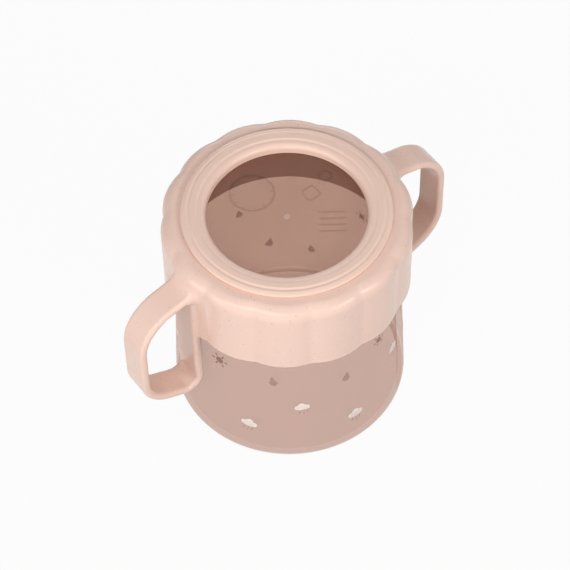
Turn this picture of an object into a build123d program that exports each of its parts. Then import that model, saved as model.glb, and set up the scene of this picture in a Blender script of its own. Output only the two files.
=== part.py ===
import math
import os

from build123d import *

os.makedirs("parts", exist_ok=True)

# A toddler cup in three pieces, in millimetres. It stands on its mouth, base up, as it is shown:
# +Z is up, the mouth rim lies on z = 0, the cup's axis is Z, and the two handles lie along X.

# Cup: a tapered tumbler, widest at its mouth
cup_height = 81.2
mouth_radius = 39.9
base_radius = 36.5
cup_wall = 2.2
base_thickness = 2.6
base_corner = 4.0
inside_corner = 2.6
rim_rounding = 0.8

# Plain moulded marks on the base, in place of writing
mark_height = 0.2
mark_line = 0.5
gate_radius = 1.1
dial_radius = 7.6
dial_place = (-3.4, 14.6)
tick_count = 12
tick_length = 1.8
square_size = 5.2
square_corner = 1.2
square_place = (12.0, 3.0)
stud_radius = 2.4
stud_place = (20.0, 6.0)
bar_length = 9.0
bar_pitch = 2.6
bar_count = 4
bar_place = (10.5, -10.5)
bar_turn = -35.0

# Collar of the handle ring: a scalloped skirt and a plate over the base end of the cup
lobe_count = 14
lobe_radius = 21.3
crest_wall = 3.44
skirt_height = 29.0
plate_thickness = 2.4
shoulder_corner = 4.5
skirt_edge = 0.6
cup_clearance = 0.25
corner_clearance = 0.5

# Handles: two closed strap loops, in one moulding with the collar
handle_depth = 23.85
handle_corner = 33.2
strap_width = 10.8
strap_thickness = 2.9
leg_thickness = 3.3
strap_rounding = 1.3
strap_drop = 5.4
strap_slope = 14.0
foot_slope = 25.0
top_bend = 17.0
lower_bend = 15.7
foot_bend = 6.2
root_bend = 2.5
leg_clearance = 0.3

# Foot ring: a soft anti-slip ring, seated in the hole of the collar
foot_inset = 2.0
foot_width = 7.7
flange_height = 1.7
neck_wall = 2.5
neck_clearance = 0.08
base_clearance = 0.2
lip_radius = 1.05
groove_depth = 0.45
groove_width = 0.4
land_rounding = 0.25

# How far each cut runs past what it cuts
overcut = 1.0


def cup_radius(level):
    """Outer radius of the cup's tapered wall at a height above the mouth rim."""
    taper = (mouth_radius - base_radius) / cup_height
    return base_radius + taper * (cup_height - level)


def half_chord(radius, rise):
    """Half the width of a round bead, a rise above its centre."""
    return math.sqrt(radius**2 - rise**2)


# Levels and places that follow from the sizes above
shoulder_level = cup_height + plate_thickness
skirt_level = shoulder_level - skirt_height
bore_corner = base_corner - corner_clearance
crest_radius = cup_radius(skirt_level) + cup_clearance + crest_wall
lobe_offset = crest_radius - lobe_radius
leg_line = cup_radius(handle_corner) + leg_clearance
handle_reach = leg_line + handle_depth
foot_radius = base_radius - foot_inset
hole_radius = foot_radius - foot_width
neck_radius = hole_radius + neck_wall

# Cup
with BuildPart() as cup:
    with BuildSketch(Plane.XZ):
        with BuildLine():
            FilletPolyline(
                (0, cup_height),
                (base_radius, cup_height),
                (mouth_radius, 0),
                (mouth_radius - cup_wall, 0),
                (base_radius - cup_wall, cup_height - base_thickness),
                (0, cup_height - base_thickness),
                radius=[0, base_corner, rim_rounding, rim_rounding, inside_corner, 0],
                close=True,
            )
        make_face()
    revolve(axis=Axis.Z)
    with BuildSketch(Plane.XY.offset(cup_height)):
        Circle(gate_radius)
        with Locations(dial_place):
            Circle(dial_radius)
            Circle(dial_radius - mark_line, mode=Mode.SUBTRACT)
            with PolarLocations(dial_radius - tick_length / 2, tick_count):
                Rectangle(tick_length, mark_line)
        with Locations(square_place):
            square_window = square_size - 2 * mark_line
            window_corner = square_corner - mark_line
            RectangleRounded(square_size, square_size, square_corner)
            RectangleRounded(square_window, square_window, window_corner, mode=Mode.SUBTRACT)
        with Locations(stud_place):
            Circle(stud_radius)
            Circle(stud_radius - mark_line, mode=Mode.SUBTRACT)
        with Locations(Location((*bar_place, 0), bar_turn)):
            with GridLocations(0, bar_pitch, 1, bar_count):
                SlotOverall(bar_length, mark_line)
    extrude(amount=mark_height)

# One lobe of the collar, a round puck with a rounded shoulder
with BuildPart() as lobe:
    with BuildSketch(Plane.XZ):
        with BuildLine():
            FilletPolyline(
                (0, skirt_level),
                (lobe_radius, skirt_level),
                (lobe_radius, shoulder_level),
                (0, shoulder_level),
                radius=[0, skirt_edge, shoulder_corner, 0],
                close=True,
            )
        make_face()
    revolve(axis=Axis.Z)

# One handle, a closed strap loop whose inner leg runs down beside the cup
with BuildPart() as handle:
    top_angle = math.radians(strap_slope)
    foot_angle = math.radians(foot_slope)
    root = (leg_line, shoulder_level - strap_drop)
    top_corner = (handle_reach, root[1] - handle_depth * math.tan(top_angle))
    lower_corner = (handle_reach, handle_corner)
    foot_corner = (leg_line, handle_corner - handle_depth * math.tan(foot_angle))
    window_depth = handle_depth - strap_thickness
    window_near = leg_line + leg_thickness
    window_far = handle_reach - strap_thickness
    ceiling = root[1] - strap_thickness / math.cos(top_angle)
    floor = foot_corner[1] + strap_thickness / math.cos(foot_angle)
    with BuildSketch(Plane.XZ):
        with BuildLine():
            FilletPolyline(
                root,
                top_corner,
                lower_corner,
                foot_corner,
                radius=[0, top_bend, lower_bend, foot_bend],
                close=True,
            )
        make_face()
        with BuildLine():
            FilletPolyline(
                (window_near, ceiling - leg_thickness * math.tan(top_angle)),
                (window_far, ceiling - window_depth * math.tan(top_angle)),
                (window_far, floor + window_depth * math.tan(foot_angle)),
                (window_near, floor + leg_thickness * math.tan(foot_angle)),
                radius=[
                    root_bend,
                    top_bend - strap_thickness,
                    lower_bend - strap_thickness,
                    foot_bend - strap_thickness,
                ],
                close=True,
            )
        make_face(mode=Mode.SUBTRACT)
    extrude(amount=strap_width / 2, both=True)
    fillet(edges().filter_by(Axis.Y, reverse=True), radius=strap_rounding)

# Handle ring
with BuildPart() as handle_ring:
    with PolarLocations(lobe_offset, lobe_count):
        add(lobe.part)
    add(handle.part)
    mirror(handle.part, about=Plane.YZ)
    with BuildSketch(Plane.XZ):
        bore_foot = skirt_level - overcut
        with BuildLine():
            FilletPolyline(
                (0, bore_foot),
                (cup_radius(bore_foot) + cup_clearance, bore_foot),
                (base_radius + cup_clearance, cup_height),
                (0, cup_height),
                radius=[0, 0, bore_corner, 0],
                close=True,
            )
        make_face()
    revolve(axis=Axis.Z, mode=Mode.SUBTRACT)
    with Locations((0, 0, shoulder_level)):
        Hole(neck_radius + neck_clearance, depth=plate_thickness + overcut)

# Foot ring: a flange with a rounded bead, a flat land between two grooves, and a rounded lip
with BuildPart() as foot_ring:
    land_level = shoulder_level + flange_height
    neck_foot = cup_height + base_clearance
    bead_radius = flange_height / 2
    bead_line = foot_radius - bead_radius
    bead_level = land_level - bead_radius
    lip_line = hole_radius + lip_radius
    lip_level = land_level - lip_radius
    groove_level = land_level - groove_depth
    land_inner = lip_line + half_chord(lip_radius, groove_level - lip_level) + groove_width
    land_outer = bead_line - half_chord(bead_radius, groove_level - bead_level) - groove_width
    land_width = land_outer - land_inner
    corner = (Align.MIN, Align.MIN)
    with BuildSketch(Plane.XZ):
        with Locations((land_inner, shoulder_level)):
            Rectangle(land_width, flange_height, align=corner)
        fillet(vertices().group_by(Axis.Y)[-1], radius=land_rounding)
        with Locations((hole_radius, neck_foot)):
            Rectangle(neck_wall, lip_level - neck_foot, align=corner)
        with Locations((lip_line, shoulder_level)):
            Rectangle(bead_line - lip_line, groove_level - shoulder_level, align=corner)
            Rectangle(foot_radius - lip_line, bead_level - shoulder_level, align=corner)
        with Locations((bead_line, bead_level)):
            Circle(bead_radius)
        with Locations((lip_line, lip_level)):
            Circle(lip_radius)
    revolve(axis=Axis.Z)

cup.part.label = "cup"
export_step(cup.part, "parts/cup.step")

handle_ring.part.label = "handle_ring"
export_step(handle_ring.part, "parts/handle_ring.step")

foot_ring.part.label = "foot_ring"
export_step(foot_ring.part, "parts/foot_ring.step")
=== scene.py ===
import math

import bmesh
import bpy
from bpy.props import FloatProperty, FloatVectorProperty, IntProperty, PointerProperty
from mathutils import Matrix, Vector


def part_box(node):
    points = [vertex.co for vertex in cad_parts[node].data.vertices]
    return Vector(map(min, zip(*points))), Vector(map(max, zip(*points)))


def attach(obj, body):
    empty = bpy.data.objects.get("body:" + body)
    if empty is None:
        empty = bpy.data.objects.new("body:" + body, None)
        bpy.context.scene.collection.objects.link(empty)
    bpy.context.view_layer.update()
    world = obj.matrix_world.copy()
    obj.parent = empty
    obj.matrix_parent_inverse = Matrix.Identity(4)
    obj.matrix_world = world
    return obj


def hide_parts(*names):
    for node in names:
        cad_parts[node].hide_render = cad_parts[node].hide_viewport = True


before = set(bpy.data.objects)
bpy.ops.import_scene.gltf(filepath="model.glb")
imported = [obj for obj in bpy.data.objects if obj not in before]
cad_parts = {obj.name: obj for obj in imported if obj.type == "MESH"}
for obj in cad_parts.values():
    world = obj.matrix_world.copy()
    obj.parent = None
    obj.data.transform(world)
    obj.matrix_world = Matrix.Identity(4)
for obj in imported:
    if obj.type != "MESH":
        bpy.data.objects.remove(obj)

bl_info = {
    "name": "Toddler Cup",
    "version": (1, 0, 0),
    "blender": (4, 5, 0),
    "location": "View3D > Sidebar > Toddler Cup",
    "description": "Makes a toddler cup with a handle ring and a soft foot ring, and its studio",
    "category": "Add Mesh",
}

MM = 0.001
TURN = 2 * math.pi

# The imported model's own box, and the places that the pieces take from its nodes
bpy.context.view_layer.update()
CUP_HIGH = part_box("cup")[1]
RING_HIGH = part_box("handle_ring")[1]
FOOT_LOW, FOOT_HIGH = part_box("foot_ring")
MARK_HEIGHT = 0.2 * MM
BASE_LEVEL = CUP_HIGH[2] - MARK_HEIGHT
SHOULDER_LEVEL = RING_HIGH[2]
HANDLE_REACH = RING_HIGH[0]
LAND_LEVEL = FOOT_HIGH[2]
FOOT_RADIUS = FOOT_HIGH[0]
NECK_LEVEL = FOOT_LOW[2]


# ---- settings

def length(name, description, default):
    """A size in metres."""
    return FloatProperty(
        name=name, description=description, default=default, min=0.0, unit="LENGTH", precision=4
    )


def share(name, description, default):
    """A share from 0 to 1."""
    return FloatProperty(
        name=name, description=description, default=default, min=0.0, max=1.0, subtype="FACTOR"
    )


def colour(name, description, default):
    """A colour, written in linear light."""
    return FloatVectorProperty(
        name=name, description=description, default=default, size=3, min=0.0, max=1.0,
        subtype="COLOR",
    )


def angle(name, description, degrees):
    """An angle, given in degrees."""
    return FloatProperty(
        name=name, description=description, default=math.radians(degrees), subtype="ANGLE"
    )


def power(name, description, default):
    """A lamp's power in watts."""
    return FloatProperty(
        name=name, description=description, default=default, min=0.0, unit="POWER"
    )


def linear(red, green, blue):
    """Linear light of a colour written as on a screen, from 0 to 255."""
    def channel(value):
        value /= 255
        return value / 12.92 if value <= 0.04045 else ((value + 0.055) / 1.055) ** 2.4
    return tuple(channel(value) for value in (red, green, blue))


class CupSettings(bpy.types.PropertyGroup):
    mouth_radius: length("Mouth Radius", "Outer radius at the mouth rim", 39.9 * MM)
    base_radius: length("Base Radius", "Outer radius at the base", 36.5 * MM)
    wall: length("Wall", "Thickness of the tapered wall", 2.2 * MM)
    base_thickness: length("Base Thickness", "Thickness of the base", 2.6 * MM)
    base_corner: length("Base Corner", "Rounding between the wall and the base", 4.0 * MM)
    inside_corner: length("Inside Corner", "Rounding inside the base", 2.6 * MM)
    rim_rounding: length("Rim Rounding", "Rounding of the mouth rim", 0.8 * MM)
    tint: colour("Tint", "Light that one wall lets through", (0.775, 0.655, 0.610))
    # The base's tint is darker than its extra thickness alone makes it: part of it is painted shade
    # from inside the cup, seen through the base
    base_tint_and_shade: colour("Base Tint", "Light that the thick base lets through", (0.622, 0.462, 0.392))
    body: colour("Body", "Colour of the haze in the plastic", (0.80, 0.50, 0.40))
    haze: share("Haze", "How milky the wall is", 0.03)
    base_haze: share("Base Haze", "How milky the thick base is", 0.14)


class PrintSettings(bpy.types.PropertyGroup):
    lift: length("Lift", "Height of the print above the wall", 0.03 * MM)
    cream: colour("Cream", "Pale ink", linear(244, 231, 219))
    brown: colour("Brown", "Ink of the thin strokes", linear(168, 124, 108))
    dark: colour("Dark Brown", "Darkest ink", linear(132, 88, 75))


class HandleRingSettings(bpy.types.PropertyGroup):
    lobe_count: IntProperty(name="Lobes", description="Collar's scallops", default=14, min=3)
    lobe_radius: length("Lobe Radius", "Radius of each scallop", 21.3 * MM)
    lobe_offset: length("Lobe Offset", "Distance of each scallop's centre from the axis", 20.0 * MM)
    valley: length("Valley Softness", "Width over which two scallops melt together", 0.35 * MM)
    skirt_height: length("Skirt Height", "Height of the collar", 29.0 * MM)
    plate_thickness: length("Plate Thickness", "Thickness of the plate over the base", 2.4 * MM)
    plate_hole: length("Plate Hole", "Radius of the hole that seats the foot ring", 29.4 * MM)
    shoulder_corner: length("Shoulder Corner", "Rounding of the shoulder", 4.5 * MM)
    bore_corner: length("Bore Corner", "Rounding inside the shoulder", 3.5 * MM)
    clearance: length("Clearance", "Gap between the collar and the cup", 0.25 * MM)
    strap_width: length("Strap Width", "Width of a handle's strap", 10.8 * MM)
    strap_thickness: length("Strap Thickness", "Thickness of a handle's strap", 2.9 * MM)
    leg_thickness: length("Leg Thickness", "Thickness of a handle's inner leg", 3.3 * MM)
    strap_rounding: length("Strap Rounding", "Rounding along a strap's edges", 1.3 * MM)
    strap_drop: length("Strap Drop", "How far below the shoulder a strap starts", 5.4 * MM)
    strap_slope: angle("Strap Slope", "How steeply a strap falls from its root", 14.0)
    foot_slope: angle("Foot Slope", "How steeply a strap rises from its foot", 25.0)
    handle_corner: length("Handle Corner", "Height of a handle's outer lower corner", 33.2 * MM)
    leg_gap: length("Leg Gap", "Gap between a handle's inner leg and the cup", 0.3 * MM)
    top_bend: length("Top Bend", "Outer radius of a strap's upper bend", 17.0 * MM)
    lower_bend: length("Lower Bend", "Outer radius of a strap's lower bend", 15.7 * MM)
    foot_bend: length("Foot Bend", "Outer radius of the bend at a strap's foot", 6.2 * MM)
    root_blend: length("Root Blend", "How widely a strap flows into the shoulder", 3.4 * MM)
    pad_blend: length("Pad Blend", "How widely the inner leg melts into the skirt", 1.0 * MM)
    colour: colour("Plastic", "Colour of the moulding", linear(242, 209, 194))
    speck: colour("Specks", "Colour of the fine specks", linear(176, 126, 104))


class FootRingSettings(bpy.types.PropertyGroup):
    hole_radius: length("Hole Radius", "Radius of the hole over the base", 26.35 * MM)
    neck_wall: length("Neck Wall", "Thickness of the neck that sits in the plate", 2.95 * MM)
    outer_groove: length("Outer Groove", "Radius of the groove inside the bead", 32.2 * MM)
    inner_groove: length("Inner Groove", "Radius of the groove outside the lip", 29.0 * MM)
    groove_depth: length("Groove Depth", "Depth of both grooves", 0.40 * MM)
    colour: colour("Silicone", "Colour of the soft ring", linear(243, 210, 194))


class StageSettings(bpy.types.PropertyGroup):
    distance: length("Distance", "From the camera to the foot ring's plane", 772.0 * MM)
    pitch: angle("Pitch", "How steeply the camera looks down", 53.786)
    turn: angle("Turn", "How far the camera stands round the cup", -35.397)
    roll: angle("Roll", "Tilt of the camera about its own line of sight", -1.332)
    front: power("Front", "Power of the wide lamp in front", 2.6)
    left: power("Left", "Power of the low lamp on the left", 2.3)
    right: power("Right", "Power of the lamp in front on the right", 3.7)
    top: power("Top", "Power of the soft lamp overhead", 1.25)
    back: power("Back", "Power of the lamp behind on the right", 0.9)
    behind: power("Behind", "Power of the low lamp behind", 2.1)
    fill: share("Fill", "Light from all round", 0.02)


GROUPS = {
    "cup": CupSettings,
    "print": PrintSettings,
    "handle_ring": HandleRingSettings,
    "foot_ring": FootRingSettings,
    "stage": StageSettings,
}


# ---- materials

class Output:
    """An output of a node. Arithmetic on it adds Math nodes."""

    def __init__(self, nodes, socket):
        self.nodes = nodes
        self.socket = socket

    def math(self, operation, *values):
        """The result of a Math node on numbers or outputs."""
        settings = {"operation": operation}
        return self.nodes.add("ShaderNodeMath", settings, dict(enumerate(values)))["Value"]

    def __add__(self, other):
        return self.math("ADD", self, other)

    def __radd__(self, other):
        return self.math("ADD", other, self)

    def __sub__(self, other):
        return self.math("SUBTRACT", self, other)

    def __rsub__(self, other):
        return self.math("SUBTRACT", other, self)

    def __mul__(self, other):
        return self.math("MULTIPLY", self, other)

    def __rmul__(self, other):
        return self.math("MULTIPLY", other, self)

    def __truediv__(self, other):
        return self.math("DIVIDE", self, other)

    def __rtruediv__(self, other):
        return self.math("DIVIDE", other, self)

    def __gt__(self, other):
        return self.math("GREATER_THAN", self, other)

    def __lt__(self, other):
        return self.math("LESS_THAN", self, other)

    def clamped(self):
        """The same number, kept from 0 to 1."""
        return self.math("MINIMUM", self.math("MAXIMUM", self, 0.0), 1.0)


class Outputs:
    """The outputs of one node, by name or number."""

    def __init__(self, nodes, node):
        self.nodes = nodes
        self.node = node

    def __getitem__(self, name):
        return Output(self.nodes, self.node.outputs[name])


class Nodes:
    """The nodes of a material or a world, from an empty tree."""

    def __init__(self, tree):
        self.tree = tree
        self.tree.nodes.clear()

    def add(self, kind, settings=None, inputs=None):
        """A node of a kind, with its settings, then the values or links of its sockets."""
        node = self.tree.nodes.new(kind)
        for name, value in (settings or {}).items():
            setattr(node, name, value)
        for name, value in (inputs or {}).items():
            socket = node.inputs[name]
            if isinstance(value, Output):
                self.tree.links.new(value.socket, socket)
            elif hasattr(value, "__len__") and len(value) < len(socket.default_value):
                socket.default_value = (*value, 1.0)
            else:
                socket.default_value = value
        return Outputs(self, node)

    def seen_white(self):
        """1 for what the camera sees, straight, mirrored or through the cup, and 0 for light on
        its way."""
        path = self.add("ShaderNodeLightPath")
        rays = path["Is Camera Ray"] + path["Is Glossy Ray"] + path["Is Transmission Ray"]
        return rays.clamped()


class Finish(Nodes):
    """A material and its nodes."""

    def __init__(self, name):
        self.material = bpy.data.materials.new(name)
        self.material.use_nodes = True
        super().__init__(self.material.node_tree)
        self.place = self.add("ShaderNodeTexCoord")["Object"]

    def mix(self, factor, first, second):
        """A colour between two. A Mix node's colours are its sockets 6 and 7 and its output 2."""
        colours = {0: factor, 6: first, 7: second}
        return self.add("ShaderNodeMix", {"data_type": "RGBA"}, colours)[2]

    def noise(self, scale, detail=3.0, roughness=0.5):
        """Cloudy noise from 0 to 1, that many times a metre."""
        inputs = {"Vector": self.place, "Scale": scale, "Detail": detail, "Roughness": roughness}
        return self.add("ShaderNodeTexNoise", None, inputs)["Fac"]

    def vector(self, operation, inputs):
        """A Vector Math node's outputs."""
        return self.add("ShaderNodeVectorMath", {"operation": operation}, inputs)

    def bump(self, height, strength, distance):
        """A normal from a height."""
        inputs = {"Height": height, "Strength": strength, "Distance": distance}
        return self.add("ShaderNodeBump", None, inputs)["Normal"]

    def height_above_floor(self):
        """The Z of each point."""
        return self.add("ShaderNodeSeparateXYZ", None, {0: self.place})["Z"]

    def across_axis(self):
        """Each point's distance from the cup's axis."""
        flat = self.vector("MULTIPLY", {0: self.place, 1: (1, 1, 0)})["Vector"]
        return self.vector("LENGTH", {0: flat})["Value"]

    def clear(self, tint):
        """A shader that lets light through, tinted."""
        return self.add("ShaderNodeBsdfTransparent", None, {"Color": tint})["BSDF"]

    def blend(self, factor, first, second):
        """A shader between two."""
        return self.add("ShaderNodeMixShader", None, {0: factor, 1: first, 2: second})["Shader"]

    def done(self, shader):
        """Shows a shader on the surface, and gives back the material."""
        self.add("ShaderNodeOutputMaterial", None, {"Surface": shader})
        return self.material


def shaded(tone, factor):
    """A colour, lighter or darker."""
    return tuple(min(1.0, channel * factor) for channel in tone)


def specks(finish, scale, smallest, largest, share_of_cells):
    """A mask of small round specks of mixed sizes, in some cells of a pattern. The cells are
    wobbled a little, so that no speck is a plain disc."""
    ripple = {"Vector": finish.place, "Scale": scale * 2.5}
    wobble = finish.add("ShaderNodeTexNoise", None, ripple)["Color"]
    shift = finish.vector("SCALE", {0: wobble, "Scale": 0.15 / scale})["Vector"]
    place = finish.vector("ADD", {0: finish.place, 1: shift})["Vector"]
    cells = finish.add("ShaderNodeTexVoronoi", None, {"Vector": place, "Scale": scale})
    chance = finish.add("ShaderNodeSeparateColor", None, {0: cells["Color"]})
    size = smallest + (largest - smallest) * chance["Red"]
    softness = 0.35 * largest
    edge = (size - cells["Distance"]) / softness
    return edge.clamped() * (chance["Green"] < share_of_cells)


# The gloss of the two peach materials, which is never quite white
WARM_GLOSS = (1.0, 0.9, 0.8)


def speckled_plastic(settings):
    """Satin peach plastic with fine brown specks, faintly mottled."""
    finish = Finish("handle_plastic")
    plastic, speck = settings.colour, tuple(settings.speck)
    tone = finish.mix(finish.noise(45.0), shaded(plastic, 0.97), shaded(plastic, 1.02))
    grain = ((finish.noise(700.0, 2.0) - 0.35) / 0.3).clamped()
    tone = finish.mix(grain, shaded(plastic, 0.98), tone)
    large = specks(finish, 260.0, 0.04, 0.09, 0.4)
    small = specks(finish, 560.0, 0.09, 0.17, 0.75)
    tone = finish.mix(large * 0.75, tone, speck)
    tone = finish.mix(small * 0.42, tone, speck)
    fine, wavy = finish.noise(1400.0, 1.0), finish.noise(160.0, 1.0)
    return finish.done(finish.add("ShaderNodeBsdfPrincipled", None, {
        "Base Color": tone,
        "Roughness": 0.22 + 0.03 * finish.noise(300.0),
        "IOR": 1.33,
        "Specular Tint": WARM_GLOSS,
        "Normal": finish.bump(fine + 6.0 * wavy, 0.1, 0.02 * MM),
    })["BSDF"])


def soft_silicone(settings):
    """Smooth satin silicone, with no specks."""
    finish = Finish("foot_silicone")
    silicone = settings.colour
    tone = finish.mix(finish.noise(60.0), shaded(silicone, 0.975), shaded(silicone, 1.015))
    return finish.done(finish.add("ShaderNodeBsdfPrincipled", None, {
        "Base Color": tone,
        "Roughness": 0.22 + 0.03 * finish.noise(420.0),
        "IOR": 1.36,
        "Specular Tint": WARM_GLOSS,
        "Normal": finish.bump(finish.noise(1400.0, 1.0), 0.1, 0.02 * MM),
    })["BSDF"])


def clear_plastic(settings):
    """Tinted see-through plastic with a soft gloss: milkier in the thick base and darker there,
    partly by painted shade from inside the cup; full-toned along the wall's outline; and lighter at
    the rim, a painted highlight along the mouth edge."""
    finish = Finish("cup_shell")
    height, from_axis = finish.height_above_floor(), finish.across_axis()
    # Light that passes a wall meets its two faces, so each face has the square root of its tint
    wall_tone, base_tone_and_shade = (
        tuple(math.sqrt(channel) for channel in tint)
        for tint in (settings.tint, settings.base_tint_and_shade)
    )
    # Where the base's darker tint and haze begin; that tint is partly painted shade from inside the
    # cup
    base_depth, base_edge = 3.4 * MM, 0.6 * MM
    base = ((height - (BASE_LEVEL - base_depth)) / base_edge).clamped()
    taper = (settings.mouth_radius - settings.base_radius) / BASE_LEVEL
    outside = from_axis + taper * height > settings.mouth_radius - 0.5 * settings.wall
    edge_on = finish.add("ShaderNodeLayerWeight", None, {"Blend": 0.5})["Facing"]
    outline_from, outline_width, outline_depth = 0.775, 0.025, 0.55
    outline = ((edge_on - outline_from) / outline_width).clamped() * outside * outline_depth
    # The rim lets more light through: a painted highlight along the mouth edge
    rim = (height < settings.rim_rounding) * 0.2
    through = finish.clear(wall_tone)
    for factor, tint in ((base, base_tone_and_shade), (outline, tuple(settings.tint)), (rim, (1, 1, 1))):
        through = finish.blend(factor, through, finish.clear(tint))
    body = settings.body
    milky = finish.add("ShaderNodeBsdfPrincipled", None, {
        "Base Color": finish.mix(finish.noise(30.0), shaded(body, 0.96), shaded(body, 1.03)),
        "Roughness": 0.28 + 0.08 * finish.noise(90.0),
        "IOR": 1.45,
        "Normal": finish.bump(finish.noise(70.0, 1.0), 0.15, 0.05 * MM),
    })["BSDF"]
    gloss = finish.add("ShaderNodeFresnel", None, {"IOR": 1.3})["Fac"]
    veil = settings.haze + (settings.base_haze - settings.haze) * base + 0.12 * gloss
    return finish.done(finish.blend(veil.clamped(), through, milky))


def marks_painted_shade(settings):
    """The matt plastic of the raised marks on the base, painted a shade darker than the base as the
    shade of their low relief, and pale on the gate."""
    finish = Finish("base_marks")
    gate_reach, gate_edge, gate_tone = 1.6 * MM, 0.2 * MM, (0.86, 0.66, 0.58)
    gate = ((gate_reach - finish.across_axis()) / gate_edge).clamped()
    body = settings.body
    # The marks' darker tone is painted shade, so that the low relief shows
    tone = finish.mix(finish.noise(1200.0), shaded(body, 0.5), shaded(body, 0.6))
    tone = finish.mix(gate, tone, gate_tone)
    matt = finish.add("ShaderNodeBsdfPrincipled", None, {
        "Base Color": tone,
        "Roughness": 0.5 + 0.1 * finish.noise(800.0),
    })["BSDF"]
    passing = tuple(channel ** 0.35 for channel in settings.tint)
    return finish.done(finish.blend(0.13 + 0.22 * gate, finish.clear(passing), matt))


def ink(name, tone, cover):
    """Matt ink, a little uneven, as a screen print is. It covers what lies under it by a share."""
    finish = Finish(name)
    uneven = finish.mix(finish.noise(1500.0, 3.0), shaded(tone, 0.94), shaded(tone, 1.03))
    return finish.done(finish.add("ShaderNodeBsdfPrincipled", None, {
        "Base Color": uneven,
        "Roughness": 0.5 + 0.1 * finish.noise(900.0),
        "Alpha": cover,
    })["BSDF"])


def floor_finish(cup):
    """Plain pale floor that reads as white and keeps a faint shadow. Under the cup it glows in the
    wall's tint: painted tinted shade where light has come through the wall."""
    finish = Finish("studio_floor")
    rim_edge = 0.8 * MM
    under = ((cup.mouth_radius - finish.across_axis()) / rim_edge).clamped()
    matt = finish.add("ShaderNodeBsdfPrincipled", None, {
        "Base Color": finish.mix(finish.noise(2.0), (0.58, 0.577, 0.573), (0.60, 0.597, 0.593)),
        "Roughness": 1.0,
        "Specular IOR Level": 0.0,
    })["BSDF"]
    # Under the cup, a glow in the wall's tint is painted shade and tinted light on the floor
    white, tinted = (
        finish.add("ShaderNodeEmission", None, {"Color": tone, "Strength": 1.0})["Emission"]
        for tone in ((1, 1, 1), tuple(cup.tint))
    )
    shown = finish.blend(under, white, tinted)
    return finish.done(finish.blend(finish.seen_white() * (0.95 + 0.03 * under), matt, shown))


# ---- mesh helpers

def round_corner(bm, point, radius, segments):
    """Rounds one corner of a flat face to a radius."""
    ways = [(edge.other_vert(point).co - point.co).normalized() for edge in point.link_edges]
    run = radius / math.tan(ways[0].angle(ways[1]) / 2)
    bmesh.ops.bevel(
        bm, geom=[point], offset=run, offset_type="OFFSET", affect="VERTICES",
        segments=segments, profile=0.5, material=-1,
    )


def rounded_outline(bm, corners, segments):
    """Edges of a closed outline in the XZ plane. Each corner is (across, up, rounding)."""
    points = [bm.verts.new((across, 0, up)) for across, up, _ in corners]
    bm.faces.new(points)
    for point, (_, _, rounding) in zip(points, corners):
        if rounding:
            round_corner(bm, point, rounding, segments)
    bmesh.ops.delete(bm, geom=bm.faces[:], context="FACES_ONLY")
    return bm.verts[:] + bm.edges[:]


def lathe(corners, steps, segments=7):
    """A closed outline turned about Z."""
    bm = bmesh.new()
    outline = rounded_outline(bm, corners, segments)
    bmesh.ops.spin(
        bm, geom=outline, cent=(0, 0, 0), axis=(0, 0, 1), angle=TURN, steps=steps, use_merge=True
    )
    bmesh.ops.remove_doubles(bm, verts=bm.verts, dist=0.001 * MM)
    bmesh.ops.recalc_face_normals(bm, faces=bm.faces)
    return bm


def cut_across(bm, axis, places):
    """Adds rows of vertices where planes square to an axis cross the mesh."""
    for place in places:
        bmesh.ops.bisect_plane(
            bm, geom=bm.verts[:] + bm.edges[:] + bm.faces[:], dist=0.001 * MM,
            plane_co=axis * place, plane_no=axis,
        )


def steps_between(start, end, count):
    """Evenly spaced numbers, both ends included."""
    return [start + (end - start) * step / (count - 1) for step in range(count)]


def finished(bm, name, material, body, node=None, smooth=True):
    """The object of a piece, riding on its body. It replaces a node where one is named."""
    mesh = bpy.data.meshes.new(name)
    bm.to_mesh(mesh)
    bm.free()
    mesh.polygons.foreach_set("use_smooth", [smooth] * len(mesh.polygons))
    piece = bpy.data.objects.new(name, mesh)
    bpy.context.scene.collection.objects.link(piece)
    mesh.materials.append(material)
    if smooth:
        even = piece.modifiers.new("even_shading", "WEIGHTED_NORMAL")
        even.mode = "FACE_AREA_WITH_ANGLE"
        even.keep_sharp = True
    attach(piece, body)
    if node:
        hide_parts(node)
    return piece


def soft_min(first, second, width):
    """The lesser of two numbers, rounded where they are within a width of each other."""
    near = max(width - abs(first - second), 0.0) / width
    return min(first, second) - near * near * width / 4


def smooth_step(value, start, end):
    """0 up to a start and 1 from an end, with a smooth change between them."""
    part = min(max((value - start) / (end - start), 0), 1)
    return part * part * (3 - 2 * part)


# ---- the cup

def wall_radius(settings, level):
    """Outer radius of the cup's tapered wall at a height."""
    narrowing = settings.base_radius - settings.mouth_radius
    return settings.mouth_radius + narrowing * level / BASE_LEVEL


def make_cup(settings):
    """The tumbler, base up."""
    inside = BASE_LEVEL - settings.base_thickness
    bm = lathe([
        (0, BASE_LEVEL, 0),
        (settings.base_radius, BASE_LEVEL, settings.base_corner),
        (settings.mouth_radius, 0, settings.rim_rounding),
        (settings.mouth_radius - settings.wall, 0, settings.rim_rounding),
        (settings.base_radius - settings.wall, inside, settings.inside_corner),
        (0, inside, 0),
    ], steps=256)
    return finished(bm, "cup_shell", clear_plastic(settings), "cup", "cup")


def raised(bm, faces, height):
    """Lifts flat faces into a low relief."""
    lifted = bmesh.ops.extrude_face_region(bm, geom=faces)["geom"]
    points = [part for part in lifted if isinstance(part, bmesh.types.BMVert)]
    bmesh.ops.translate(bm, verts=points, vec=(0, 0, height))
    bmesh.ops.delete(bm, geom=faces, context="FACES_ONLY")


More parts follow.
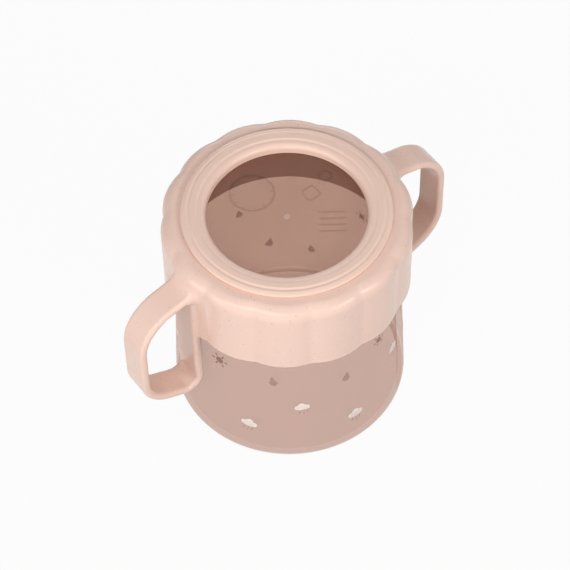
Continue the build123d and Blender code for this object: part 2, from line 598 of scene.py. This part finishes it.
def flat_ring(bm, points, line):
    """A closed line of even width, inside an outline of vertices."""
    face = bm.faces.new(points)
    face.normal_update()
    bmesh.ops.inset_region(
        bm, faces=[face], thickness=line, use_boundary=True, use_even_offset=True
    )
    ring = [f for f in bm.faces if f != face and any(v in points for v in f.verts)]
    bmesh.ops.delete(bm, geom=[face], context="FACES_ONLY")
    return ring


def circle_points(bm, radius, place, count=48):
    """Vertices of a circle."""
    return bmesh.ops.create_circle(
        bm, cap_ends=False, segments=count, radius=radius, matrix=Matrix.Translation((*place, 0))
    )["verts"]


def bar(bm, overall, line, place, turn):
    """A short bar with round ends."""
    matrix = Matrix.Translation((*place, 0)) @ Matrix.Rotation(turn, 4, "Z")
    ends = []
    for side in (1, -1):
        centre = matrix @ Vector((side * (overall - line) / 2, 0, 0))
        for step in range(7):
            bearing = turn + (0 if side > 0 else math.pi) + math.pi * (step / 6 - 0.5)
            way = Vector((math.cos(bearing), math.sin(bearing), 0))
            ends.append(bm.verts.new(centre + way * line / 2))
    return [bm.faces.new(ends)]


# The marks on the base, in the source's sizes, and how far they float over the base's own face
MARK_LINE = 0.5 * MM
MARK_GAP = 0.01 * MM
GATE_RADIUS = 1.1 * MM
DIAL_PLACE, DIAL_RADIUS = Vector((-3.4 * MM, 14.6 * MM)), 7.6 * MM
TICK_COUNT, TICK_LENGTH, TICK_RADIUS = 12, 1.5 * MM, 6.45 * MM
SQUARE_PLACE, SQUARE_HALF, SQUARE_CORNER = (12.0 * MM, 3.0 * MM), 2.6 * MM, 1.2 * MM
STUD_PLACE, STUD_RADIUS = (20.0 * MM, 6.0 * MM), 2.4 * MM
BAR_PLACE, BAR_TURN = Vector((10.5 * MM, -10.5 * MM)), math.radians(-35)
BAR_COUNT, BAR_LENGTH, BAR_PITCH = 4, 9.0 * MM, 2.6 * MM


def make_base_marks(settings):
    """Plain raised marks on the base: a dial with ticks, a rounded square, a stud, four bars and
    the gate."""
    bm = bmesh.new()
    faces = [bm.faces.new(circle_points(bm, GATE_RADIUS, (0, 0), 32))]
    faces += flat_ring(bm, circle_points(bm, DIAL_RADIUS, DIAL_PLACE, 72), MARK_LINE)
    for tick in range(TICK_COUNT):
        bearing = TURN * tick / TICK_COUNT
        place = DIAL_PLACE + Vector((math.cos(bearing), math.sin(bearing))) * TICK_RADIUS
        faces += bar(bm, TICK_LENGTH, MARK_LINE, place, bearing)
    square = []
    for quarter in range(4):
        diagonal = math.radians(45 + 90 * quarter)
        out = math.sqrt(2) * (SQUARE_HALF - SQUARE_CORNER)
        across = SQUARE_PLACE[0] + out * math.cos(diagonal)
        up = SQUARE_PLACE[1] + out * math.sin(diagonal)
        for step in range(6):
            bearing = math.radians(90 * quarter + 18 * step)
            way = Vector((math.cos(bearing), math.sin(bearing), 0))
            square.append(bm.verts.new(Vector((across, up, 0)) + way * SQUARE_CORNER))
    faces += flat_ring(bm, square, MARK_LINE)
    faces += flat_ring(bm, circle_points(bm, STUD_RADIUS, STUD_PLACE, 40), MARK_LINE)
    aside = Vector((-math.sin(BAR_TURN), math.cos(BAR_TURN)))
    for row in range(BAR_COUNT):
        offset = aside * (row - (BAR_COUNT - 1) / 2) * BAR_PITCH
        faces += bar(bm, BAR_LENGTH, MARK_LINE, BAR_PLACE + offset, BAR_TURN)
    # A little lower than the source's marks, so that they stay inside the CAD box
    raised(bm, faces, MARK_HEIGHT * 0.9)
    bmesh.ops.translate(bm, verts=bm.verts, vec=(0, 0, BASE_LEVEL + MARK_GAP))
    bmesh.ops.recalc_face_normals(bm, faces=bm.faces)
    return finished(bm, "base_marks", marks_painted_shade(settings), "cup", smooth=False)


# ---- the print

def blot(bm, across, up, width, height, turn=0.0, count=28):
    """An oval of ink, lying flat."""
    matrix = (
        Matrix.Translation((across * MM, up * MM, 0))
        @ Matrix.Rotation(turn, 4, "Z")
        @ Matrix.Diagonal((width * MM / 2, height * MM / 2, 1, 1))
    )
    return bmesh.ops.create_circle(
        bm, cap_ends=True, segments=count, radius=1, matrix=matrix
    )["verts"]


def cloud(bm):
    """A small cloud of three puffs on a flat foot."""
    blot(bm, -1.6, 0.4, 2.4, 2.6)
    blot(bm, 0.1, 1.0, 3.0, 3.8)
    blot(bm, 1.8, 0.4, 2.3, 2.4)
    blot(bm, 0.1, -0.3, 5.4, 1.7)


def rain(bm):
    """Three slanting strokes of rain."""
    for across, up in ((-1.4, -2.4), (0.1, -3.0), (1.5, -2.3)):
        blot(bm, across, up, 0.36, 1.9, turn=-0.35, count=14)


def drop(bm):
    """A falling drop, round below and pointed above."""
    size = 1.5 * MM
    for point in blot(bm, 0, 0, 3.0, 3.0, count=32):
        rise = max(0.0, point.co.y / size)
        point.co.y += 1.2 * size * rise ** 4
        point.co.x *= 1 - 0.35 * rise ** 2


def sun(bm):
    """A small sun with six short rays."""
    blot(bm, 0, 0, 2.6, 2.8)
    for ray in range(6):
        bearing = TURN * ray / 6
        across, up = 2.3 * math.cos(bearing), 2.3 * math.sin(bearing)
        blot(bm, across, up, 1.3, 0.7, turn=bearing, count=14)


# Each motif: what is drawn, how far round the cup in degrees, how high in mm, its turn in
# degrees and its size
CREAM_MOTIFS = [
    (cloud, -147, 15, -8, 1.0), (cloud, -120, 27, 10, 0.9), (cloud, -92, 14, 4, 1.0),
    (cloud, -62, 30, -6, 0.95), (cloud, -34, 16, 8, 1.0), (cloud, -4, 28, -5, 0.9),
    (cloud, 100, 24, 5, 1.0), (cloud, 128, 13, 9, 0.9), (cloud, 157, 27, -4, 1.0),
]
BROWN_MOTIFS = [(rain, *place) for _, *place in CREAM_MOTIFS] + [
    (drop, -134, 41, 12, 1.0), (drop, -97, 37, -10, 0.95), (drop, -47, 40, 6, 1.0),
    (drop, -18, 42, -8, 0.9), (drop, 18, 14, 8, 1.0), (drop, 42, 12, -6, 0.9),
    (drop, 64, 16, 10, 1.0), (drop, 80, 38, -8, 0.9), (drop, 114, 42, 0, 1.0),
    (drop, 142, 40, -6, 1.0),
]
DARK_MOTIFS = [
    (sun, -163, 44, 0, 1.1), (sun, -75, 45, 12, 0.9), (sun, 12, 44, 5, 0.9),
    (sun, 172, 16, 3, 1.0),
]
MOTIF_REACH = 3.0 * MM


def make_ink_layer(name, motifs, tone, cover, cup, lift):
    """One ink of the print: flat motifs, wrapped on the tapered wall."""
    whole = bmesh.new()
    for draw, degrees, up, tilt, size in motifs:
        bm = bmesh.new()
        draw(bm)
        # Rows of vertices let a flat motif follow the wall's curve
        cut_across(bm, Vector((1, 0, 0)), steps_between(-MOTIF_REACH, MOTIF_REACH, 13))
        turn = Matrix.Rotation(math.radians(tilt), 4, "Z") @ Matrix.Scale(size, 4)
        bmesh.ops.transform(bm, matrix=turn, verts=bm.verts)
        for point in bm.verts:
            level = up * MM + point.co.y
            radius = wall_radius(cup, level) + lift
            bearing = math.radians(degrees) + point.co.x / radius
            point.co = (radius * math.cos(bearing), radius * math.sin(bearing), level)
        scrap = bpy.data.meshes.new("motif")
        bm.to_mesh(scrap)
        bm.free()
        whole.from_mesh(scrap)
        bpy.data.meshes.remove(scrap)
    for face in whole.faces:
        face.normal_update()
        if face.normal.xy.dot(face.calc_center_median().xy) < 0:
            face.normal_flip()
    return finished(whole, name, ink(name, tone, cover), "cup", smooth=False)


# ---- the handle ring

# How widely a strap's underside flows into its inner leg, and where the leg gets its thickness
FORK_BLEND = 3.2 * MM
LEG_THICKENS = (29 * MM, 37 * MM)
# Where a strap's blend into the collar widens, from the skirt's to the shoulder's
BLEND_WIDENS = (71 * MM, 78 * MM)
# Where the roots melt into the collar: across, at most that far aside, and above a level
ROOT_ACROSS, ROOT_ASIDE, ROOT_ABOVE = (37 * MM, 52 * MM), 13 * MM, 50 * MM
# What lies in the other part is eased under its surface by a share of its depth, past EASE
EASE, EASE_SHARE = 0.5 * MM, 0.12
# A vertex deeper than this in the other part stays, and so does one that would move further
DEEP, FURTHEST_MOVE = 1.7 * MM, 3.5 * MM
# The collar's plate stays round up to a radius, and so does its wall on the bore's side
PLATE_ROUND, BORE_SIDE = 30 * MM, 1.6 * MM
STEPS_A_LOBE = 36


class StrapPath:
    """The closed loop of a handle in the XZ plane: its corners' places, and its root."""

    def __init__(self, ring, cup):
        self.ring = ring
        self.slope = ring.strap_slope
        self.lower = ring.handle_corner
        self.leg = wall_radius(cup, self.lower) + ring.leg_gap
        self.root = SHOULDER_LEVEL - ring.strap_drop
        depth = HANDLE_REACH - self.leg
        self.top = self.root - depth * math.tan(ring.strap_slope)
        self.foot = self.lower - depth * math.tan(ring.foot_slope)

    def band(self, across, up, aside):
        """Distances near a strap's root: to the strap, to its inner leg, and to both melted
        together."""
        thickness, leg_thickness = self.ring.strap_thickness, self.ring.leg_thickness
        over = (up - self.root) * math.cos(self.slope) + (across - self.leg) * math.sin(self.slope)
        top = self.slab(abs(over + thickness / 2) - thickness / 2, aside)
        beside = abs(across - self.leg - leg_thickness / 2) - leg_thickness / 2
        leg = self.slab(max(beside, over + thickness), aside)
        return top, leg, soft_min(top, leg, FORK_BLEND)

    def slab(self, through, aside):
        """Distance to a slab with rounded edges, from the distance to its faces."""
        rounding = self.ring.strap_rounding
        outer = through + rounding
        edge = abs(aside) - self.ring.strap_width / 2 + rounding
        return math.hypot(max(outer, 0), max(edge, 0)) + min(max(outer, edge), 0) - rounding


def skirt_radius(ring, bearing):
    """Outer radius of the collar at a bearing: round lobes that meet in soft valleys."""
    pitch = TURN / ring.lobe_count
    off_crest = abs((bearing + pitch / 2) % pitch - pitch / 2)
    near, following = (
        ring.lobe_offset * math.cos(turn)
        + math.sqrt(ring.lobe_radius ** 2 - (ring.lobe_offset * math.sin(turn)) ** 2)
        for turn in (off_crest, pitch - off_crest)
    )
    return -soft_min(-near, -following, ring.valley)


def collar_distance(ring, point):
    """Distance to the outside of the collar, less inside it."""
    corner = ring.shoulder_corner
    side = skirt_radius(ring, math.atan2(point.y, point.x))
    across = math.hypot(point.x, point.y) - side + corner
    up = point.z - SHOULDER_LEVEL + corner
    outside = math.hypot(max(across, 0), max(up, 0)) + min(max(across, up), 0) - corner
    return max(outside, SHOULDER_LEVEL - ring.skirt_height - point.z)


def blended(ring, path, point):
    """Distance to the collar and a strap melted together, widely at the shoulder and closely
    below it."""
    high = smooth_step(point.z, *BLEND_WIDENS)
    width = ring.pad_blend + (ring.root_blend - ring.pad_blend) * high
    band = path.band(abs(point.x), point.z, point.y)[2]
    return soft_min(collar_distance(ring, point), band, width)


def near_root(place):
    """True where a strap's root may melt into the collar."""
    across = ROOT_ACROSS[0] < abs(place.x) < ROOT_ACROSS[1]
    return across and abs(place.y) <= ROOT_ASIDE and place.z >= ROOT_ABOVE


def melt(bm, ring, path, other):
    """Moves vertices near the straps' roots onto the surface in which collar and straps melt
    together, step by step down its slope. What lies deep in the other part stays."""
    nudge, close, tries = 0.02 * MM, 0.002 * MM, 8
    axes = Vector((1, 0, 0)), Vector((0, 1, 0)), Vector((0, 0, 1))
    for point in bm.verts:
        place = point.co.copy()
        inside = -other(place) if near_root(place) else 2 * DEEP
        if inside > DEEP:
            continue
        target = -EASE_SHARE * max(inside - EASE, 0)
        for _ in range(tries):
            off = blended(ring, path, place) - target
            if abs(off) < close:
                break
            slope = Vector([
                blended(ring, path, place + axis * nudge)
                - blended(ring, path, place - axis * nudge)
                for axis in axes
            ])
            if slope.length < nudge * 0.2:
                break
            place -= slope.normalized() * off
        if (place - point.co).length < FURTHEST_MOVE:
            point.co = place


def make_collar(ring, cup, path):
    """The scalloped collar and its plate: turned round, then drawn in between its lobes."""
    skirt_edge = 0.6 * MM
    skirt_level = SHOULDER_LEVEL - ring.skirt_height
    crest = ring.lobe_offset + ring.lobe_radius
    under = SHOULDER_LEVEL - ring.plate_thickness
    bore = wall_radius(cup, skirt_level) + ring.clearance
    bm = lathe([
        (ring.plate_hole, under, 0.15 * MM),
        (cup.base_radius + ring.clearance, under, ring.bore_corner),
        (bore, skirt_level, 0.4 * MM),
        (crest, skirt_level, skirt_edge),
        (crest, SHOULDER_LEVEL, ring.shoulder_corner),
        (ring.plate_hole, SHOULDER_LEVEL, 0.3 * MM),
    ], steps=ring.lobe_count * STEPS_A_LOBE, segments=9)
    # Rows of vertices up the skirt, closer where the roots melt into it
    for low, high, count in ((skirt_level + 2 * MM, 68 * MM, 6), (69 * MM, 79 * MM, 16)):
        cut_across(bm, Vector((0, 0, 1)), steps_between(low, high, count))
    for point in bm.verts:
        radius = math.hypot(point.co.x, point.co.y)
        if point.co.z > under:
            inner, outer = PLATE_ROUND, crest - ring.shoulder_corner
        else:
            inner, outer = wall_radius(cup, point.co.z) + ring.clearance, crest - skirt_edge
        weight = min(max((radius - inner) / (outer - inner), 0), 1)
        change = skirt_radius(ring, math.atan2(point.co.y, point.co.x)) - crest
        factor = 1 + weight * change / radius
        point.co.x *= factor
        point.co.y *= factor

    def strap(place):
        """Distance to a strap. The bore's side counts as deep inside, so that it stays."""
        bore_side = math.hypot(place.x, place.y) < wall_radius(cup, place.z) + BORE_SIDE
        if bore_side and place.z < SHOULDER_LEVEL - MM:
            return -crest
        return path.band(abs(place.x), place.z, place.y)[2]

    melt(bm, ring, path, strap)
    return bm


def swept(bm, section, centre, turn):
    """Carries a section round a bend in the XZ plane."""
    steps = max(4, round(abs(turn) / math.radians(5)))
    return bmesh.ops.spin(
        bm, geom=section, cent=(centre[0], 0, centre[1]), axis=(0, 1, 0), angle=turn, steps=steps
    )["geom_last"]


def run_on(bm, section, way, distance, step=0.6 * MM):
    """Carries a section straight on."""
    steps = max(1, round(distance / step))
    stride = Vector((way[0], 0, way[1])) * distance / steps
    return bmesh.ops.spin(
        bm, geom=section, axis=(0, 1, 0), dvec=stride, angle=0, steps=steps
    )["geom_last"]


def make_strap(ring, path):
    """A closed strap loop: a rounded section carried along the handle's outline."""
    thickness, half, rounding = ring.strap_thickness, ring.strap_width / 2, ring.strap_rounding
    bm = bmesh.new()
    rounded_outline(bm, [
        (-half, 0, rounding), (half, 0, rounding),
        (half, -thickness, rounding), (-half, -thickness, rounding),
    ], 7)
    flat = half - rounding - 0.8 * MM
    cut_across(bm, Vector((1, 0, 0)), steps_between(-flat, flat, 8))
    # The section stands across the strap: its width along Y, its thickness into the loop
    section, points = bm.verts[:] + bm.edges[:], bm.verts[:]
    for turn, axis in ((math.pi / 2, "Z"), (path.slope, "Y")):
        matrix = Matrix.Rotation(turn, 3, axis)
        bmesh.ops.rotate(bm, verts=points, cent=(0, 0, 0), matrix=matrix)
    bmesh.ops.translate(bm, verts=points, vec=(path.leg, 0, path.root))
    corners = [
        Vector((path.leg, path.root)), Vector((HANDLE_REACH, path.top)),
        Vector((HANDLE_REACH, path.lower)), Vector((path.leg, path.foot)),
    ]
    bends = [0, ring.top_bend, ring.lower_bend, ring.foot_bend]
    at = corners[0]
    for number in range(4):
        start, corner, beyond = (corners[(number + ahead) % 4] for ahead in range(3))
        bend = bends[(number + 1) % 4]
        way, after = (corner - start).normalized(), (beyond - corner).normalized()
        turn = way.angle(after)
        run = bend * math.tan(turn / 2)
        end = corner - way * run
        section = run_on(bm, section, way, (end - at).length)
        if bend:
            centre = end + Vector((way.y, -way.x)) * bend
            section = swept(bm, section, centre, turn)
            at = corner + after * run
    bmesh.ops.recalc_face_normals(bm, faces=bm.faces)
    # The inner leg is thicker than the strap, on its side in the loop
    extra = ring.leg_thickness - thickness
    for point in bm.verts:
        inward = (point.co.x - path.leg) / thickness
        if 0.5 < inward < 1.01 and point.co.z < path.root - thickness:
            point.co.x += extra * smooth_step(point.co.z, *LEG_THICKENS)

    def collar_or_strap(place):
        """Distance to the collar, or to whichever of strap and leg the place isn't on."""
        top, leg, _ = path.band(abs(place.x), place.z, place.y)
        return min(collar_distance(ring, place), leg if abs(top) < abs(leg) else top)

    melt(bm, ring, path, collar_or_strap)
    return bm


def make_handle_ring(ring, cup):
    """Collar and both straps, one moulding. The second strap is the first, mirrored."""
    path = StrapPath(ring, cup)
    whole = make_collar(ring, cup, path)
    strap = make_strap(ring, path)
    mesh = bpy.data.meshes.new("strap")
    strap.to_mesh(mesh)
    whole.from_mesh(mesh)
    bmesh.ops.transform(strap, matrix=Matrix.Diagonal((-1, 1, 1, 1)), verts=strap.verts)
    bmesh.ops.reverse_faces(strap, faces=strap.faces)
    strap.to_mesh(mesh)
    whole.from_mesh(mesh)
    strap.free()
    bpy.data.meshes.remove(mesh)
    plastic = speckled_plastic(ring)
    return finished(
        whole, "handle_ring_moulding", plastic, "handle_ring", "handle_ring"
    )


# ---- the foot ring

def make_foot_ring(foot):
    """The soft ring: a bead, a flat land between two grooves, and a lip round the hole."""
    neck = foot.hole_radius + foot.neck_wall
    floor = LAND_LEVEL - foot.groove_depth
    bm = lathe([
        (foot.hole_radius, NECK_LEVEL, 0.25 * MM),
        (neck, NECK_LEVEL, 0.25 * MM),
        (neck, SHOULDER_LEVEL, 0),
        (FOOT_RADIUS - 0.8 * MM, SHOULDER_LEVEL, 0.2 * MM),
        (FOOT_RADIUS, SHOULDER_LEVEL + 0.4 * MM, 0.3 * MM),
        (FOOT_RADIUS, floor - 0.25 * MM, 0.9 * MM),
        (foot.outer_groove + 0.65 * MM, floor + 0.28 * MM, 1.1 * MM),
        (foot.outer_groove, floor, 1.8 * MM),
        (foot.outer_groove - 0.70 * MM, LAND_LEVEL, 1.3 * MM),
        (foot.inner_groove + 0.70 * MM, LAND_LEVEL, 1.3 * MM),
        (foot.inner_groove, floor, 1.8 * MM),
        (foot.inner_groove - 0.55 * MM, floor + 0.10 * MM, 1.2 * MM),
        (foot.hole_radius, floor - 0.20 * MM, 1.75 * MM),
    ], steps=320, segments=8)
    silicone = soft_silicone(foot)
    return finished(bm, "foot_ring_soft", silicone, "foot_ring", "foot_ring")


# ---- the studio

# The camera's lens and frame, and how far beside the foot ring's centre it is aimed
LENS_MM, SENSOR_MM = 151.19, 36.0
SIGHT_ASIDE, SIGHT_UP = -1.1521 * MM, -24.5721 * MM
NEAREST_SEEN = 10 * MM

# Each lamp's size in metres, its bearing and elevation in degrees, and its distance in metres.
# Its power is the stage's setting of the same name, and it faces the axis at LAMP_AIM.
LAMPS = {
    "front": ((0.62, 0.16), -25, 36, 0.75),
    "left": ((0.35, 0.35), -62, 13, 0.9),
    "right": ((0.50, 0.20), 47, 28, 0.9),
    "top": ((0.50, 0.50), 0, 82, 0.8),
    "back": ((0.50, 0.50), 135, 35, 0.9),
    "behind": ((0.60, 0.40), 180, 12, 0.9),
}
LAMP_AIM = 50 * MM

FLOOR_REACH = 4.0
FLOOR_GAP = 0.05 * MM


def make_camera(stage):
    """A camera at the photograph's angle."""
    camera = bpy.data.cameras.new("camera")
    camera.lens = LENS_MM
    camera.sensor_width = SENSOR_MM
    camera.clip_start = NEAREST_SEEN
    right = Vector((1, 0, 0))
    up = Vector((0, math.sin(stage.pitch), math.cos(stage.pitch)))
    ahead = Vector((0, math.cos(stage.pitch), -math.sin(stage.pitch)))
    place = SIGHT_ASIDE * right + SIGHT_UP * up - stage.distance * ahead
    tilted_right = math.cos(stage.roll) * right + math.sin(stage.roll) * up
    tilted_up = math.cos(stage.roll) * up - math.sin(stage.roll) * right
    axes = Matrix((tilted_right, tilted_up, -ahead)).transposed().to_4x4()
    stand = Matrix.Translation((0, 0, LAND_LEVEL)) @ Matrix.Rotation(stage.turn, 4, "Z")
    taker = bpy.data.objects.new("camera", camera)
    taker.matrix_world = stand @ Matrix.Translation(place) @ axes
    bpy.context.scene.collection.objects.link(taker)
    bpy.context.scene.camera = taker


def make_lamp(stage, name):
    """A soft oblong lamp that faces the cup. Its bearing is counted from the camera's side, to
    the right."""
    size, bearing, elevation, distance = LAMPS[name]
    light = bpy.data.lights.new(name, "AREA")
    light.shape = "RECTANGLE"
    light.energy = getattr(stage, name)
    light.size, light.size_y = size
    lamp = bpy.data.objects.new(name, light)
    around = stage.turn + math.radians(bearing) - math.pi / 2
    rise = math.radians(elevation)
    flat = math.cos(rise)
    way = Vector((math.cos(around) * flat, math.sin(around) * flat, math.sin(rise)))
    lamp.location = Vector((0, 0, LAMP_AIM)) + way * distance
    lamp.rotation_euler = way.to_track_quat("Z", "Y").to_euler()
    bpy.context.scene.collection.objects.link(lamp)


def make_floor(cup):
    """A wide floor under the mouth rim."""
    bm = bmesh.new()
    bmesh.ops.create_grid(bm, x_segments=1, y_segments=1, size=FLOOR_REACH)
    bmesh.ops.translate(bm, verts=bm.verts, vec=(0, 0, -FLOOR_GAP))
    mesh = bpy.data.meshes.new("floor")
    bm.to_mesh(mesh)
    bm.free()
    mesh.materials.append(floor_finish(cup))
    floor = bpy.data.objects.new("floor", mesh)
    bpy.context.scene.collection.objects.link(floor)


def make_world(stage):
    """Even light from all round, which shows as white."""
    world = bpy.data.worlds.new("studio")
    world.use_nodes = True
    bpy.context.scene.world = world
    nodes = Nodes(world.node_tree)
    strength = stage.fill + (1.0 - stage.fill) * nodes.seen_white()
    sky = nodes.add("ShaderNodeBackground", None, {"Color": (1, 1, 1), "Strength": strength})
    nodes.add("ShaderNodeOutputWorld", None, {"Surface": sky["Background"]})


# ---- operators

class TODDLERCUP_OT_cup(bpy.types.Operator):
    """Makes the tinted tumbler and the raised marks on its base"""
    bl_idname = "toddler_cup.cup"
    bl_label = "Cup"

    def execute(self, context):
        settings = context.scene.toddler_cup.cup
        make_cup(settings)
        make_base_marks(settings)
        return {"FINISHED"}


class TODDLERCUP_OT_print(bpy.types.Operator):
    """Prints clouds, rain, drops and suns on the cup's wall"""
    bl_idname = "toddler_cup.print"
    bl_label = "Print"

    def execute(self, context):
        cup, inks = context.scene.toddler_cup.cup, context.scene.toddler_cup.print
        make_ink_layer("print_cream", CREAM_MOTIFS, inks.cream, 0.95, cup, inks.lift)
        make_ink_layer("print_brown", BROWN_MOTIFS, inks.brown, 0.7, cup, inks.lift * 1.5)
        make_ink_layer("print_dark", DARK_MOTIFS, inks.dark, 0.8, cup, inks.lift)
        return {"FINISHED"}


class TODDLERCUP_OT_handle_ring(bpy.types.Operator):
    """Makes the scalloped collar with its two strap handles"""
    bl_idname = "toddler_cup.handle_ring"
    bl_label = "Handle Ring"

    def execute(self, context):
        settings = context.scene.toddler_cup
        make_handle_ring(settings.handle_ring, settings.cup)
        return {"FINISHED"}


class TODDLERCUP_OT_foot_ring(bpy.types.Operator):
    """Makes the soft ring over the base"""
    bl_idname = "toddler_cup.foot_ring"
    bl_label = "Foot Ring"

    def execute(self, context):
        make_foot_ring(context.scene.toddler_cup.foot_ring)
        return {"FINISHED"}


class TODDLERCUP_OT_stage(bpy.types.Operator):
    """Sets the camera, the floor and the lamps"""
    bl_idname = "toddler_cup.stage"
    bl_label = "Stage"

    def execute(self, context):
        stage = context.scene.toddler_cup.stage
        context.scene.view_settings.view_transform = "Standard"
        make_camera(stage)
        make_floor(context.scene.toddler_cup.cup)
        make_world(stage)
        for name in LAMPS:
            make_lamp(stage, name)
        return {"FINISHED"}


class TODDLERCUP_PT_panel(bpy.types.Panel):
    """Settings and steps of the toddler cup"""
    bl_label = "Toddler Cup"
    bl_idname = "TODDLERCUP_PT_panel"
    bl_space_type = "VIEW_3D"
    bl_region_type = "UI"
    bl_category = "Toddler Cup"

    def draw(self, context):
        for step in STEPS:
            self.layout.operator(step.bl_idname)
        for name, group in GROUPS.items():
            box = self.layout.box()
            box.label(text=name.replace("_", " ").title())
            for setting in group.__annotations__:
                box.prop(getattr(context.scene.toddler_cup, name), setting)


class ToddlerCupSettings(bpy.types.PropertyGroup):
    cup: PointerProperty(type=CupSettings)
    print: PointerProperty(type=PrintSettings)
    handle_ring: PointerProperty(type=HandleRingSettings)
    foot_ring: PointerProperty(type=FootRingSettings)
    stage: PointerProperty(type=StageSettings)


STEPS = [
    TODDLERCUP_OT_stage, TODDLERCUP_OT_cup, TODDLERCUP_OT_print,
    TODDLERCUP_OT_handle_ring, TODDLERCUP_OT_foot_ring,
]
CLASSES = [*GROUPS.values(), ToddlerCupSettings, *STEPS, TODDLERCUP_PT_panel]


def register():
    for part in CLASSES:
        bpy.utils.register_class(part)
    bpy.types.Scene.toddler_cup = PointerProperty(type=ToddlerCupSettings)


def unregister():
    del bpy.types.Scene.toddler_cup
    for part in reversed(CLASSES):
        bpy.utils.unregister_class(part)


def main():
    register()
    bpy.ops.toddler_cup.stage()
    bpy.ops.toddler_cup.cup()
    bpy.ops.toddler_cup.print()
    bpy.ops.toddler_cup.handle_ring()
    bpy.ops.toddler_cup.foot_ring()
    bpy.context.view_layer.update()


if __name__ == "__main__":
    main()
